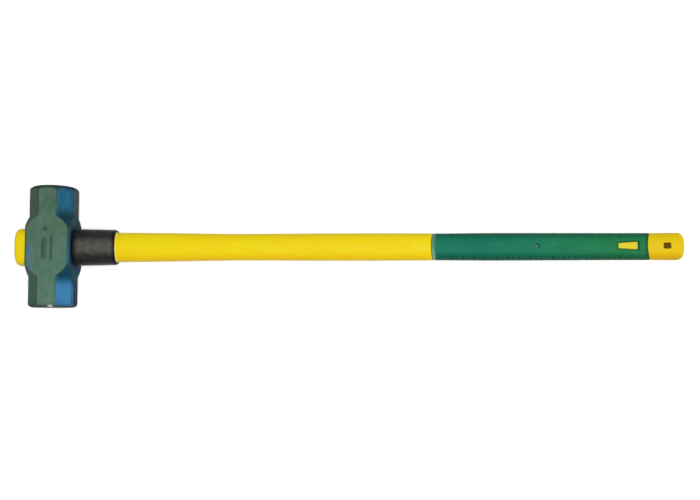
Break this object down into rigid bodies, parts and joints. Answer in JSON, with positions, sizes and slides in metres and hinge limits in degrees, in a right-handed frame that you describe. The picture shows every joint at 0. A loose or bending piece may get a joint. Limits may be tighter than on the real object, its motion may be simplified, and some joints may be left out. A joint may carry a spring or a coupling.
{
  "type": "sledgehammer",
  "caption": "Long-handled sledgehammer: forged head with octagonal ends, rubber collar, jacketed fibreglass handle with a moulded grip and a lanyard hole in the butt.",
  "frame": {"origin": "centre of the head's lower cheek, the flat that lies on the ground", "axes": "+X along the handle from the head to the butt, +Y along the head from one striking face to the other, +Z out of the upper cheek"},
  "size_m": [0.914, 0.165, 0.06],
  "materials": {
    "head_paint": "satin green enamel, blue on the handle side",
    "glass_fibre": "pultruded glass fibre in resin",
    "epoxy": "cast resin",
    "yellow_plastic": "satin moulded polypropylene",
    "black_rubber": "smooth satin rubber",
    "sealant": "cured sealant",
    "green_rubber": "moulded thermoplastic rubber with fine ribs"
  },
  "bodies": {
    "root": {"head": "head_paint", "fibreglass_core": "glass_fibre", "epoxy_fill": "epoxy", "eye_cap": "yellow_plastic", "shaft_jacket": "yellow_plastic", "collar": "black_rubber", "collar_bead": "sealant", "grip": "green_rubber", "grip_inlay": "yellow_plastic", "butt_cap": "yellow_plastic"}
  },
  "joints": []
}
